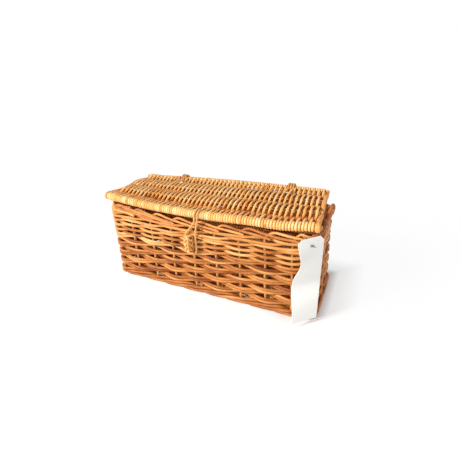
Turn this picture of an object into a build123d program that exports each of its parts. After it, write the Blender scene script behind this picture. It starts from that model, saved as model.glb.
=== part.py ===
"""Lidded willow hamper: stakes, woven courses, rolled border, square-work lid and base.

Millimetres. X runs along the length, -Y is the front, Z is up.
The origin is the middle of the underside, on the base.
"""

import math
import os

from build123d import *

# Driving dimensions
LENGTH = 371.0  # basket over the weave, left to right
DEPTH = 140.0  # basket over the weave, front to back
HEIGHT = 158.5  # floor to the top of the closed lid
CORNER_RADIUS = 18.0  # plan corner, to the stakes' centres
STAKE = 4.6  # upright rods
ROD = 4.3  # height of a woven rod
ROD_WIDE = 5.0  # its thickness through the wall
FRONT_STAKES = 8  # uprights along the front, and along the back
FRONT_SPREAD = 0.755 * LENGTH  # first to last of them
STAKE_SHIFT = 8.0  # the front ones stand this far right of the middle
END_SPREAD = 0.29 * DEPTH  # between the two uprights of an end
CLEAR = 0.2  # room between rods that bear on each other

# Weave of the wall, counted in rows from the floor
BOTTOM_WALE_ROWS = 3
SLEW_COURSES = 8  # each is a pair of rods
TOP_WALE_ROWS = 4
ROD_END = 1.5  # how far a rod's end stops short of the middle of its stake

# Lid and base
LID_LENGTH = LENGTH - 11.0
LID_DEPTH = DEPTH - 2.0
LID_SHIFT = -2.0  # the lid sits a little to the left
STICK = 5.6  # stout sticks of the lid and the base
FRONT_STICK = 6.6  # the one inside the lid's wound front edge
FRONT_DROP = 3.0  # that edge hangs this far below the rest of the lid
STICKS = 4  # across the lid
FLAT_ROD = 3.2  # thickness of the weavers in the lid and the base
LID_PITCH = 4.0  # from one lid weaver to the next
END_ROD = 6.4  # width of the stouter rod at each end of the lid
TAIL = 3.2  # a lid weaver's end beyond the back stick
SHORT_TAIL = 14.0  # end of a weaver that is cut short at a hinge or the loop
BASE_PITCH = 11.6  # flat bundles of the base
BASE_STICK_PLACES = (-43.0, 0.0, 43.0)
BASE_FLAT = 8.0  # length that a base bundle lies flat beside a stick
BASE_ROOM = 1.0  # between the base and the wall

# Fittings
CANE = 2.8  # hinge windings and the loop
HINGE_TURNS = 3
HINGE_PITCH = 3.4  # from one turn to the next
HINGE_SLACK = 1.8  # the windings stand this far off the stick
HINGE_PLACES = (5.76, 0.52)  # counted in gaps between the back uprights
CLASP_STAKE = 3  # the knot is tied to this upright
KNOT_DIAMETER = 13.0
KNOT_HEIGHT = 29.0
KNOT_PROFILE = ((-1, 0.5), (-0.6, 0.85), (0, 1), (0.6, 0.85), (1, 0.5))  # level, width
KNOT_SIDES = 10
KNOT_LEVEL = 0.63 * HEIGHT
NECK = 3.6
LOOP_DROP = 4.6  # the loop hangs this far below the knot
TAG_WIDTH = 40.0
TAG_HEIGHT = 134.0
TAG_THICKNESS = 0.8
TAG_CLIP = 8.0  # cut off each upper corner
EYELET = 1.5  # radius of the hole for the string
EYELET_DROP = 7.5  # from the card's upper edge
TAG_ASIDE = -13.0  # eyelet, along the corner towards the front
TAG_ROOM = 7.0  # it hangs this far outside the weave's corner
STRING = 1.1

# Worked out from the above
REACH = (STAKE + ROD_WIDE) / 2 + CLEAR  # stake's centre to a rod's centre
SKIN = REACH + ROD_WIDE / 2  # stake's centre to the outside of the weave
HALF_LENGTH = LENGTH / 2 - SKIN
HALF_DEPTH = DEPTH / 2 - SKIN
CORNER_X = HALF_LENGTH - CORNER_RADIUS
CORNER_Y = HALF_DEPTH - CORNER_RADIUS
GAP = FRONT_SPREAD / (FRONT_STAKES - 1)
FRONT_START = STAKE_SHIFT - FRONT_SPREAD / 2
STICK_REACH = (STICK + FLAT_ROD) / 2 + CLEAR
WRAP_STEP = 60  # degrees between the bends of a weaver round the rim
WRAP_SHARE = 1 / math.cos(math.radians(WRAP_STEP / 2))
WRAP_RADIUS = ((FRONT_STICK + FLAT_ROD) / 2 + CLEAR) * WRAP_SHARE
RIM = WRAP_RADIUS + 0.52 * FLAT_ROD
FRONT_Y = LID_DEPTH / 2 - RIM  # front stick of the lid, and the loop's turning line
FRONT_Z = HEIGHT - FRONT_DROP - RIM
LID_BOTTOM = FRONT_Z - RIM
EDGE = STICK_REACH * WRAP_SHARE + 0.52 * FLAT_ROD
AXIS_Y = LID_DEPTH / 2 - EDGE  # back stick of the lid, and the hinge
AXIS_Z = HEIGHT - EDGE
STICK_GAP = 2 * AXIS_Y / (STICKS - 1)
FIRST_GAP = FRONT_Y - AXIS_Y + STICK_GAP
STEEPEST = math.atan2(AXIS_Z - FRONT_Z + WRAP_RADIUS + STICK_REACH, FIRST_GAP)

# Rolled border: every stake's tip lies outwards and down across its neighbours
BORDER_SPAN = 3
BORDER_OUT = 0.48 * ROD_WIDE
BORDER_DOWN = 0.62 * ROD
BORDER_HALF = BORDER_SPAN * BORDER_OUT / 2
BORDER_SKIN = BORDER_HALF + ROD_WIDE / 2
BORDER_TOP = LID_BOTTOM - 1.5 * CLEAR - ROD / 2
WALL_TOP = BORDER_TOP - BORDER_SPAN * BORDER_DOWN - ROD / 2 - CLEAR
ROWS = int(WALL_TOP / (ROD + CLEAR))
ROW = WALL_TOP / ROWS

# Places of the fittings
HINGE_LEFT, HINGE_RIGHT = [-(FRONT_START + place * GAP) for place in HINGE_PLACES]
HINGE_WIDTH = HINGE_TURNS * HINGE_PITCH + CANE
CANE_REACH = (STICK + CANE) / 2 + CLEAR
KNOT_X = FRONT_START + CLASP_STAKE * GAP
LOOP_X = LID_SHIFT + 6.0
LOOP_SPREAD = 3.6  # between the loop's two strands over the rim


def stake_places():
    """Each stake's centre and its outward direction, round from the front left corner."""
    front, right = Vector(0, -1), Vector(1, 0)
    half = [
        (Vector(FRONT_START + step * GAP, -HALF_DEPTH), front) for step in range(FRONT_STAKES)
    ]
    ends = [(Vector(HALF_LENGTH, side * END_SPREAD / 2), right) for side in (-1, 1)]
    corners = []
    for side in (-1, 1):
        out = right.rotate(Axis.Z, 45 * side)
        corners.append((Vector(CORNER_X, side * CORNER_Y) + out * CORNER_RADIUS, out))
    half += [corners[0], *ends, corners[1]]
    return half + [(place * -1, out * -1) for place, out in half]


STAKES = stake_places()
HALF_COUNT = len(STAKES) // 2
FRONT = (0, FRONT_STAKES - 1)
RIGHT_FRONT = (FRONT_STAKES - 1, FRONT_STAKES + 1)
RIGHT = (FRONT_STAKES + 1, FRONT_STAKES + 2)
RIGHT_BACK = (FRONT_STAKES + 2, HALF_COUNT)


def opposite(span):
    """The same stretch of wall on the far side."""
    return span[0] + HALF_COUNT, span[1] + HALF_COUNT


WALLS = {
    "front": [FRONT],
    "back": [opposite(FRONT)],
    "ends": [RIGHT, opposite(RIGHT)],
    "corners": [RIGHT_FRONT, RIGHT_BACK, opposite(RIGHT_FRONT), opposite(RIGHT_BACK)],
}


def diamond(width, thickness):
    """Four-sided section of a rod."""
    return Polygon(
        (width / 2, 0), (0, thickness / 2), (-width / 2, 0), (0, -thickness / 2), align=None
    )


def rod(points, across, section):
    """A rod along straight runs; across is the direction of its section's width."""
    path = Polyline(*points)
    start = Plane(origin=path @ 0, x_dir=across, z_dir=path % 0)
    return sweep(start * section, path=path, transition=Transition.RIGHT).solid()


def plain(course):
    """Over one stake and under the next; odd courses begin the other way."""
    return lambda stake: 1 if (stake + course) % 2 == 0 else -1


def wale(row):
    """In front of two stakes and behind one, each row a stake further on."""
    return lambda stake: -1 if (stake + row) % 3 == 0 else 1


def bends_along(side, span):
    """Bends of a rod along a span of stakes; side gives 1 outside a stake and -1 inside."""
    numbers = range(span[0], span[1] + 1)
    stakes = [(*STAKES[i % len(STAKES)], side(i)) for i in numbers]
    lifts = [REACH] * len(stakes)
    for _ in range(5):
        bends = [place + out * (way * lift) for (place, out, way), lift in zip(stakes, lifts)]
        for i, (place, out, way) in enumerate(stakes):
            along = out.rotate(Axis.Z, 90)
            slant = 1.0
            for other in bends[max(0, i - 1) : i] + bends[i + 1 : i + 2]:
                run = (other - bends[i]).normalized()
                if run.dot(out) * way < 0:
                    slant = min(slant, abs(run.dot(along)))
            lifts[i] = REACH / slant
    return bends


def wall_rod(side, span):
    """One woven rod between two stakes, its ends hidden behind them, at floor level."""
    run = bends_along(side, span)
    first = run[0] + (run[1] - run[0]).normalized() * ROD_END
    last = run[-1] + (run[-2] - run[-1]).normalized() * ROD_END
    return rod([first, *run[1:-1], last], (0, 0, 1), diamond(ROD, ROD_WIDE))


def courses(sides, first_row, spans):
    """Rods stacked upwards from a row, one for each side function, over every span."""
    made = []
    for step, side in enumerate(sides):
        level = (first_row + step + 0.5) * ROW
        for span in spans:
            made.append(Pos(0, 0, level) * wall_rod(side, span))
    return made


# Rows from the floor up
SLEW_ROW = BOTTOM_WALE_ROWS
RAND_ROW = SLEW_ROW + 2 * SLEW_COURSES
TOP_ROW = ROWS - TOP_WALE_ROWS
SLEWING = [plain(row // 2) for row in range(2 * SLEW_COURSES)]
RANDING = [plain(SLEW_COURSES + row) for row in range(TOP_ROW - RAND_ROW)]
BOTTOM_WALE = [wale(row) for row in range(BOTTOM_WALE_ROWS)]
TOP_WALE = [wale(row) for row in range(TOP_WALE_ROWS)]


def top_wale():
    """Rows under the border; the last one leaves out the gaps with the hinges on the back."""
    all_round = [span for spans in WALLS.values() for span in spans]
    start, end = WALLS["back"][0]
    gaps = sorted(int(place) for place in HINGE_PLACES)
    stops = [start, *(start + gap + step for gap in gaps for step in (0, 1)), end]
    between = [span for span in zip(stops[::2], stops[1::2]) if span[0] < span[1]]
    last_spans = [span for span in all_round if span != (start, end)] + between
    made = courses(TOP_WALE[:-1], TOP_ROW, all_round)
    return made + courses(TOP_WALE[-1:], ROWS - 1, last_spans)


def stake(index):
    """An upright from the floor to the border."""
    place = STAKES[index % len(STAKES)][0]
    upright = extrude(RegularPolygon(STAKE / 2, 8), WALL_TOP - CLEAR)
    return (Pos(place.X, place.Y, CLEAR) * upright).solid()


def border_bends(index):
    """Bends of a stake's tip, from inside and high to outside and low over the next stakes."""
    bends = []
    for step in range(BORDER_SPAN + 1):
        place, out = STAKES[(index + step) % len(STAKES)]
        aside = place + out * (step * BORDER_OUT - BORDER_HALF)
        bends.append(aside + Vector(0, 0, BORDER_TOP - step * BORDER_DOWN))
    return bends


def border_rod(index):
    """A stake's tip laid down into the border."""
    return rod(border_bends(index), (0, 0, 1), diamond(ROD, ROD_WIDE))


def stick(length, x, y, z, thickness=STICK):
    """A stout stick along X."""
    bar = extrude(Plane.YZ * RegularPolygon(thickness / 2, 8), length / 2, both=True)
    return (Pos(x, y, z) * bar).solid()


def lid_weaver(width, turned, first=0, last=STICKS - 1):
    """A weaver between two of the lid's sticks; turned is 1 or -1.

    One that begins at the front stick is wrapped round it, and one that stops before the
    back stick, or begins behind the front one, leaves room for a hinge or the loop.
    """
    lift = turned * STICK_REACH / math.cos(STEEPEST)
    crossings = [
        (0, -AXIS_Y + step * STICK_GAP, AXIS_Z + (lift if step % 2 == 0 else -lift))
        for step in range(max(first, 1), last + 1)
    ]
    head = [(0, crossings[0][1] - SHORT_TAIL, crossings[0][2])]
    if first == 0:
        angles = [math.radians(angle) for angle in range(270, 89, -WRAP_STEP)]
        turn = [(WRAP_RADIUS * math.cos(a), WRAP_RADIUS * math.sin(a)) for a in angles]
        head = [(0, -FRONT_Y + y, FRONT_Z + turned * z) for y, z in turn]
    tail = TAIL if last == STICKS - 1 else SHORT_TAIL
    end = (0, crossings[-1][1] + tail, crossings[-1][2])
    return rod([*head, *crossings, end], (1, 0, 0), diamond(width, FLAT_ROD))


def lid_weavers():
    """All the weavers of the lid, those at the hinges and the loop cut short."""
    width = LID_PITCH - CLEAR
    count = int((LID_LENGTH - 2 * (END_ROD + CLEAR)) / LID_PITCH)
    kinds = {}
    made = []
    for row in range(count):
        x = LID_SHIFT + (row - (count - 1) / 2) * LID_PITCH
        to_hinge = min(abs(x - HINGE_LEFT), abs(x - HINGE_RIGHT))
        at_hinge = to_hinge < (HINGE_WIDTH + width) / 2 + CLEAR
        at_loop = abs(x - LOOP_X) < (LOOP_SPREAD + CANE + width) / 2 + CLEAR
        turned = 1 if row % 2 == 0 else -1
        kind = (turned, 1 if at_loop else 0, STICKS - 2 if at_hinge else STICKS - 1)
        if kind not in kinds:
            kinds[kind] = lid_weaver(width, *kind)
        made.append((Pos(x, 0, 0) * kinds[kind]).solid())
    return made


def lid_end_rods():
    """The stouter rod that finishes each end of the lid."""
    end = lid_weaver(END_ROD, 1)
    reach = (LID_LENGTH - END_ROD) / 2
    return [(Pos(LID_SHIFT + side * reach, 0, 0) * end).solid() for side in (-1, 1)]


def inside_half(along, corner_along, corner_across):
    """Half the room inside the wall at a distance from the middle."""
    radius = CORNER_RADIUS - SKIN - BASE_ROOM
    past = max(0.0, abs(along) - corner_along)
    return corner_across + math.sqrt(max(0.0, radius**2 - past**2))


BASE_Z = STICK_REACH + FLAT_ROD / 2


def base_sticks():
    """Three sticks along the base."""
    made = []
    for y in BASE_STICK_PLACES:
        half = inside_half(abs(y) + STICK / 2, CORNER_Y, CORNER_X)
        made.append(stick(2 * half, 0, y, BASE_Z))
    return made


def base_bundle(x, turned):
    """A flat bundle of rods across the base, over and under the sticks."""
    half = inside_half(abs(x) + BASE_PITCH / 2, CORNER_X, CORNER_Y)
    bends = [(-half, None)]
    for index, y in enumerate(BASE_STICK_PLACES):
        if abs(y) + STICK < half:
            level = turned * STICK_REACH * (1 if index % 2 else -1)
            bends += [(y - BASE_FLAT / 2, level), (y + BASE_FLAT / 2, level)]
    bends[0] = (-half, bends[1][1])
    bends[1:2] = []
    bends[-1] = (half, bends[-1][1])
    points = [(x, y, BASE_Z + level) for y, level in bends]
    return rod(points, (1, 0, 0), Rectangle(BASE_PITCH - 2 * CLEAR, FLAT_ROD))


def base_weave():
    """All the bundles of the base; the middle one runs under the middle stick."""
    reach = CORNER_X + CORNER_RADIUS - SKIN - BASE_ROOM - BASE_PITCH / 2
    each_side = int(reach / BASE_PITCH)
    return [
        base_bundle(row * BASE_PITCH, -1 if row % 2 == 0 else 1)
        for row in range(-each_side, each_side + 1)
    ]


def hinge_points(x):
    """Bends of the cane round the lid's back stick and under the border."""
    low = (ROWS - 0.5) * ROW
    inner = HALF_DEPTH - BORDER_SKIN - CLEAR - CANE / 2
    outer = max(HALF_DEPTH + BORDER_SKIN, AXIS_Y + CANE_REACH) + CLEAR + CANE / 2
    bevel = 0.55 * CANE_REACH
    turn = [
        (inner, low),
        (outer, low),
        (outer, AXIS_Z),
        (AXIS_Y + bevel, AXIS_Z + CANE_REACH + HINGE_SLACK),
        (AXIS_Y - bevel, AXIS_Z + CANE_REACH + HINGE_SLACK),
        (AXIS_Y - 1.2 * CANE_REACH, AXIS_Z),
        (inner, LID_BOTTOM),
    ]
    points = []
    for step in range(HINGE_TURNS * len(turn) + 1):
        y, z = turn[step % len(turn)]
        shift = (step / len(turn) - HINGE_TURNS / 2) * HINGE_PITCH
        points.append((x + shift, y, z))
    return points


def hinge_winding(x):
    """One hinge: an unbroken cane wound round both parts."""
    return rod(hinge_points(x), (1, 0, 0), diamond(CANE, CANE))


def knot_level():
    """Height of the row nearest the knot's place whose rod passes behind its stake."""
    rows = [RAND_ROW + i for i, side in enumerate(RANDING) if side(CLASP_STAKE) < 0]
    levels = [(row + 0.5) * ROW for row in rows]
    return min(levels, key=lambda level: abs(level - KNOT_LEVEL))


KNOT_Z = knot_level()
KNOT_Y = -(HALF_DEPTH + SKIN + 5 * CLEAR + KNOT_DIAMETER / 2)


def clasp_knot():
    """Barrel-shaped knot with a neck that reaches its stake between two rods."""
    half, radius = KNOT_HEIGHT / 2, KNOT_DIAMETER / 2
    barrel = loft(
        [
            Pos(0, 0, level * half) * RegularPolygon(share * radius, KNOT_SIDES)
            for level, share in KNOT_PROFILE
        ],
        ruled=True,
    )
    seat = -(HALF_DEPTH + STAKE / 2 + CLEAR) - KNOT_Y
    neck = rod([(0, 0, 0), (0, seat, 0)], (1, 0, 0), Rectangle(NECK, NECK))
    return (Pos(KNOT_X, KNOT_Y, KNOT_Z) * (barrel + neck)).solid()


def loop_points():
    """The loop from behind the lid's front stick, down round the knot and back."""
    hang = -(HALF_DEPTH + SKIN + 2 * CLEAR + CANE / 2)
    reach = (FRONT_STICK + CANE) / 2 + CLEAR
    bevel = 0.55 * reach
    top, bottom = KNOT_Z + KNOT_HEIGHT / 2, KNOT_Z - KNOT_HEIGHT / 2
    wide = KNOT_DIAMETER / 2 + CANE / 2 + 6 * CLEAR
    over = [
        (-FRONT_Y + 1.2 * reach, FRONT_Z),
        (-FRONT_Y + bevel, FRONT_Z + reach + CLEAR),
        (-FRONT_Y - bevel, FRONT_Z + reach + CLEAR),
        (-FRONT_Y - 1.2 * reach, FRONT_Z),
        (hang, LID_BOTTOM - CANE),
    ]
    right = [(LOOP_X + LOOP_SPREAD / 2, y, z) for y, z in over]
    left = [(LOOP_X - LOOP_SPREAD / 2, y, z) for y, z in reversed(over)]
    round_knot = [
        (wide + 1.2, top),
        (wide + 1.2, bottom + 2),
        (0.6 * wide, bottom - LOOP_DROP),
        (-0.6 * wide, bottom - LOOP_DROP),
        (-wide, bottom + 3),
        (-wide, top),
    ]
    return right + [(KNOT_X + x, hang, z) for x, z in round_knot] + left


def clasp_loop():
    """Cane loop that hangs from the lid's rim over the knot."""
    return rod(loop_points(), (1, 0, 0), diamond(CANE, CANE))


# Swing tag across the front right corner
CORNER_STAKE = FRONT_STAKES
TAG_PLACE, TAG_FACES = STAKES[CORNER_STAKE]
TAG_ALONG = TAG_FACES.rotate(Axis.Z, 90)
TAG_OUT = SKIN + TAG_ROOM
TAG_TOP = LID_BOTTOM - 1.0
EYELET_AT = TAG_PLACE + TAG_FACES * TAG_OUT + TAG_ALONG * TAG_ASIDE
EYELET_Z = TAG_TOP - EYELET_DROP


def swing_tag():
    """Blank card with clipped upper corners and an eyelet."""
    half = TAG_WIDTH / 2
    low = EYELET_DROP - TAG_HEIGHT
    outline = Polygon(
        (-half, low),
        (half, low),
        (half, EYELET_DROP - TAG_CLIP),
        (half - TAG_CLIP, EYELET_DROP),
        (TAG_CLIP - half, EYELET_DROP),
        (-half, EYELET_DROP - TAG_CLIP),
        align=None,
    )
    card = outline - Circle(EYELET)
    face = Plane(
        origin=(EYELET_AT.X, EYELET_AT.Y, EYELET_Z), x_dir=TAG_ALONG, z_dir=TAG_FACES
    )
    return extrude(face * card, TAG_THICKNESS / 2, both=True).solid()


def tag_string():
    """String from the border, out under the lid's rim and through the eyelet."""
    bends = border_bends(CORNER_STAKE - 2)
    tie = (bends[1] + bends[2]) * 0.5
    start = tie + TAG_FACES * (ROD_WIDE / 2 + 3 * CLEAR + STRING / 2)
    hole = Vector(EYELET_AT.X, EYELET_AT.Y, EYELET_Z)
    tip = hole + (hole - start).normalized() * EYELET
    return rod([start, tip], TAG_ALONG, diamond(STRING, STRING))


def save(name, shapes):
    """Write one node's solids."""
    shapes = list(shapes)
    print(name, len(shapes))
    export_step(shapes[0] if len(shapes) == 1 else Compound(shapes), f"parts/{name}.step")


os.makedirs("parts", exist_ok=True)

# Wall
all_spans = [span for spans in WALLS.values() for span in spans]
save("bottom_wale", courses(BOTTOM_WALE, 0, all_spans))
for wall, spans in WALLS.items():
    save(f"slewing_{wall}", courses(SLEWING, SLEW_ROW, spans))
    save(f"randing_{wall}", courses(RANDING, RAND_ROW, spans))
save("top_wale", top_wale())

# Stakes and border
last_front = FRONT_STAKES - 1
save("front_stakes", [stake(i) for i in range(1, last_front)])
save("back_stakes", [stake(HALF_COUNT + i) for i in range(1, last_front)])
corner_stakes = [0, *range(last_front, HALF_COUNT)]
save("corner_stakes", [stake(i + half) for half in (0, HALF_COUNT) for i in corner_stakes])
straight = range(FRONT_STAKES - BORDER_SPAN)
bent = range(FRONT_STAKES - BORDER_SPAN, HALF_COUNT)
save("border_front", [border_rod(i) for i in straight])
save("border_back", [border_rod(HALF_COUNT + i) for i in straight])
save("border_corners", [border_rod(i + half) for half in (0, HALF_COUNT) for i in bent])

# Base
save("base_sticks", base_sticks())
save("base_weave", base_weave())

# Lid
save("lid_front_stick", [stick(LID_LENGTH, LID_SHIFT, -FRONT_Y, FRONT_Z, FRONT_STICK)])
inner = [-AXIS_Y + step * STICK_GAP for step in range(1, STICKS - 1)]
save("lid_inner_sticks", [stick(LID_LENGTH, LID_SHIFT, y, AXIS_Z) for y in inner])
save("lid_back_stick", [stick(LID_LENGTH, LID_SHIFT, AXIS_Y, AXIS_Z)])
save("lid_weavers", lid_weavers())
save("lid_end_rods", lid_end_rods())

# Hinges, clasp and tag
save("hinge_left", [hinge_winding(HINGE_LEFT)])
save("hinge_right", [hinge_winding(HINGE_RIGHT)])
save("clasp_knot", [clasp_knot()])
save("clasp_loop", [clasp_loop()])
save("swing_tag", [swing_tag()])
save("tag_string", [tag_string()])

# Room between the turns of a hinge, measured on the bends one turn apart
winding = [Vector(*point) for point in hinge_points(HINGE_LEFT)]
turn_bends = (len(winding) - 1) // HINGE_TURNS
apart = [(b - a).length for a, b in zip(winding, winding[turn_bends:])]
print("least gap between hinge turns", round(min(apart) - CANE, 2))
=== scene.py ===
import math

import bmesh
import bpy
import numpy as np
from mathutils import Matrix, Vector


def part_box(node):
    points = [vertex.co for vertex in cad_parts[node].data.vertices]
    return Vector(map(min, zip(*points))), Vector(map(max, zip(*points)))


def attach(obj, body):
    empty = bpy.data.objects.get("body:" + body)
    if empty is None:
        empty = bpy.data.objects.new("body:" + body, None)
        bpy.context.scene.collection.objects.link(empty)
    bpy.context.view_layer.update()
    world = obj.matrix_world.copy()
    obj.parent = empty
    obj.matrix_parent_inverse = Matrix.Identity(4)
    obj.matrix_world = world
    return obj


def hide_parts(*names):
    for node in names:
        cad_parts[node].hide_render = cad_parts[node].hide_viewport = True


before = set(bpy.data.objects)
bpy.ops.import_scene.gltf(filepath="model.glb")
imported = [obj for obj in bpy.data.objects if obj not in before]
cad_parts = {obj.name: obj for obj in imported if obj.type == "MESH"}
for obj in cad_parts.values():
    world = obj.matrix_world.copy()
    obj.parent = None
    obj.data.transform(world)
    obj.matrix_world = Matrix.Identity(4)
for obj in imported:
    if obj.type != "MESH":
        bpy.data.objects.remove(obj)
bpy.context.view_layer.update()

MM = 0.001
rng = np.random.default_rng(11)

# Sizes of the basket, in millimetres, as in the solids
LENGTH = 371.0
DEPTH = 140.0
HEIGHT = 158.5
CORNER_RADIUS = 18.0
STAKE = 4.6
ROD = 4.3
ROD_WIDE = 5.0
FRONT_STAKES = 8
FRONT_SPREAD = 0.755 * LENGTH
STAKE_SHIFT = 8.0
END_SPREAD = 0.29 * DEPTH
CLEAR = 0.2
BOTTOM_WALE_ROWS = 3
WALE_RODS = 3
SLEW_ROWS = 16
TOP_WALE_ROWS = 4
LID_LENGTH = LENGTH - 11.0
LID_DEPTH = DEPTH - 2.0
LID_SHIFT = -2.0
STICK = 5.6
FRONT_STICK = 6.6
FRONT_DROP = 3.0
STICKS = 4
FLAT_ROD = 3.2
LID_PITCH = 4.0
END_ROD = 6.4
BASE_PITCH = 11.6
BASE_STICK_PLACES = (-43.0, 0.0, 43.0)
BASE_ROOM = 1.0
CANE = 2.8
HINGE_TURNS = 3
HINGE_PITCH = 3.4
HINGE_PLACES = (5.76, 0.52)
KNOT_HEIGHT = 29.0
KNOT_DIAMETER = 13.0
TAG_WIDTH = 40.0
TAG_HEIGHT = 134.0
TAG_THICKNESS = 0.8
EYELET = 1.5
EYELET_DROP = 7.5
TAG_ASIDE = -13.0

# Worked out as in the solids
REACH = (STAKE + ROD_WIDE) / 2 + CLEAR
SKIN = REACH + ROD_WIDE / 2
HALF_LENGTH = LENGTH / 2 - SKIN
HALF_DEPTH = DEPTH / 2 - SKIN
CORNER_X = HALF_LENGTH - CORNER_RADIUS
CORNER_Y = HALF_DEPTH - CORNER_RADIUS
GAP = FRONT_SPREAD / (FRONT_STAKES - 1)
FRONT_START = STAKE_SHIFT - FRONT_SPREAD / 2
STICK_REACH = (STICK + FLAT_ROD) / 2 + CLEAR
WRAP_SHARE = 1 / math.cos(math.radians(30))
RIM_REACH = (FRONT_STICK + FLAT_ROD) / 2 + CLEAR
RIM = RIM_REACH * WRAP_SHARE + 0.52 * FLAT_ROD
FRONT_Y = LID_DEPTH / 2 - RIM
FRONT_Z = HEIGHT - FRONT_DROP - RIM
LID_BOTTOM = FRONT_Z - RIM
EDGE = STICK_REACH * WRAP_SHARE + 0.52 * FLAT_ROD
AXIS_Y = LID_DEPTH / 2 - EDGE
AXIS_Z = HEIGHT - EDGE
STICK_GAP = 2 * AXIS_Y / (STICKS - 1)
BORDER_SPAN = 3
BORDER_OUT = 0.48 * ROD_WIDE
BORDER_DOWN = 0.62 * ROD
BORDER_HALF = BORDER_SPAN * BORDER_OUT / 2
BORDER_SKIN = BORDER_HALF + ROD_WIDE / 2
BORDER_TOP = LID_BOTTOM - 1.5 * CLEAR - ROD / 2
WALL_TOP = BORDER_TOP - BORDER_SPAN * BORDER_DOWN - ROD / 2 - CLEAR
ROWS = int(WALL_TOP / (ROD + CLEAR))
ROW = WALL_TOP / ROWS
RAND_ROW = BOTTOM_WALE_ROWS + SLEW_ROWS
TOP_ROW = ROWS - TOP_WALE_ROWS
HINGE_LEFT, HINGE_RIGHT = [-(FRONT_START + place * GAP) for place in HINGE_PLACES]
CANE_REACH = (STICK + CANE) / 2 + CLEAR
LOOP_X = LID_SHIFT + 6.0

# How this basket departs from a straight and level one
SAG = 5.0  # of the lid's front edge and of the wall's top under it
SAG_FROM = 30.0  # height from which the wall sinks with it
LEFT_LIFT = 11.0  # of the front edge's left end
RIGHT_LIFT, TIP_LIFT = 2.0, 5.0  # of its right half and of its right end
ARCH = 4.6  # of the lid's back edge
ARCH_PEAK = 0.25  # where it is highest, from 0 at the middle to 1 at the right end
ARCH_RIGHT, ARCH_LEFT = 0.8, 1.1  # from there to its two feet, in the same measure
BACK_LIFT = 3.5  # of the back edge's right end
SUNK = 2.2  # of the front border, which leaves a dark line under the lid
RAISED = 4.6  # of the left border, up to the lid
RAISED_BACK = 2.4  # of the back border, which the opened lid must clear
RAISED_FROM = 35.0  # height from which the wall rises with them
LEAN = 0.024  # the foot is this share longer than the top
# The wall turns into its front, back or left side between two distances from the middle
FRONT_SIDE, BACK_SIDE, LEFT_SIDE = (30, 60), (20, 44), (165, 176)
CLOSE_BACK, CLOSE_LEFT = (-30, 20), (164, 175)  # and into the close weave of back and left end

# How the rods are drawn and woven; thicknesses are halves
SIDES = 10  # of a rod's outline
CUT_PALER = 0.22  # a cut end's tone above its rod's
ROD_CREASE, CARD_CREASE = math.radians(62), math.radians(40)  # edges sharper than this stay sharp
WEAVE_STEP = 1.7  # between points along a woven rod
WEAVE_REACH = 4.4  # from a stake's middle to a rod's
CLOSE_REACH, CLOSE_FULLER = 0.48, 0.33  # shares that it loses, and rods gain, in the close weave
CLOSE_LIFT = 1.6  # times that a pair is spread there
PAIR_SPREAD = 0.35  # of each rod of a pair, off the middle of its row
ROD_JOINS = 3  # rods in a row, end to end
TIP_PAST = 9.0  # a tip that ends in sight, past its stake
TIP_SHORT = 0.6  # other ends, short of it
WALL_BUTT, WALL_SLIM = (2.18, 2.36), (0.05, 0.25)  # least and most at the butt, and lost to the tip
WALE_THICK, STAKE_BUTT, STAKE_TIP = 2.35, 2.1, 1.9
BORDER_THIN, BORDER_THICK, ROLL_THICK = 2.05, 2.6, 2.7
LINING_BUTT, LINING_TIP = 2.1, 2.0
LID_BUTT, LID_TIP, LID_FLAT = 1.86, 1.78, 0.9
END_BUTT, END_TIP = 3.5, 3.2
BASE_BUTT, BASE_TIP, BASE_STICK_BUTT, BASE_STICK_TIP = 2.0, 1.85, 2.8, 2.6
HINGE_CANE = 0.6 * CANE
KNOT_STRAND, NECK, TWINE = 2.3, 1.6, 0.5

# Tones of the rods, from dark at 0 to pale at 1
WALE_TONE, WALL_TONE, WALL_PALER = 0.36, 0.4, 0.24  # the wall gets paler upwards
STAKE_TONE, BASE_TONE = 0.66, 0.5
BORDER_TONE, ROLL_TONE, LINING_TONE = 0.6, 0.42, 0.5
LID_STICK_TONE, LID_TONE, LID_END_TONE = 0.72, 0.79, 0.5
HINGE_TONE, KNOT_TONE, NECK_TONE, LOOP_TONE = 0.36, 0.62, 0.5, 0.64

# Plan of the wall: a rounded oblong through the stakes, measured from the front left
ARC = CORNER_RADIUS * math.pi / 2
HALF_ROUND = 2 * CORNER_X + 2 * CORNER_Y + 2 * ARC
ROUND = 2 * HALF_ROUND
half_stations = [CORNER_X + FRONT_START + step * GAP for step in range(FRONT_STAKES)]
half_stations += [
    2 * CORNER_X + ARC / 2,
    2 * CORNER_X + ARC + CORNER_Y - END_SPREAD / 2,
    2 * CORNER_X + ARC + CORNER_Y + END_SPREAD / 2,
    2 * CORNER_X + ARC + 2 * CORNER_Y + ARC / 2,
]
STATIONS = np.array(half_stations + [HALF_ROUND + s for s in half_stations])
COUNT = len(STATIONS)


def plan(along):
    """Points of the plan and their outward directions at distances round it."""
    along = np.mod(along, ROUND)
    far = along >= HALF_ROUND
    part = np.where(far, along - HALF_ROUND, along)
    past_front = part - 2 * CORNER_X
    past_end = past_front - ARC - 2 * CORNER_Y
    turn = np.clip(past_front / CORNER_RADIUS, 0, math.pi / 2)
    turn += np.clip(past_end / CORNER_RADIUS, 0, math.pi / 2)
    out = np.stack([np.sin(turn), -np.cos(turn)], 1)
    x = -CORNER_X + np.clip(part, 0, 2 * CORNER_X)
    y = -CORNER_Y + np.clip(past_front - ARC, 0, 2 * CORNER_Y)
    centre = np.stack([x, y], 1)
    sign = np.where(far, -1.0, 1.0)[:, None]
    return (centre + out * CORNER_RADIUS) * sign, out * sign


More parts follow.
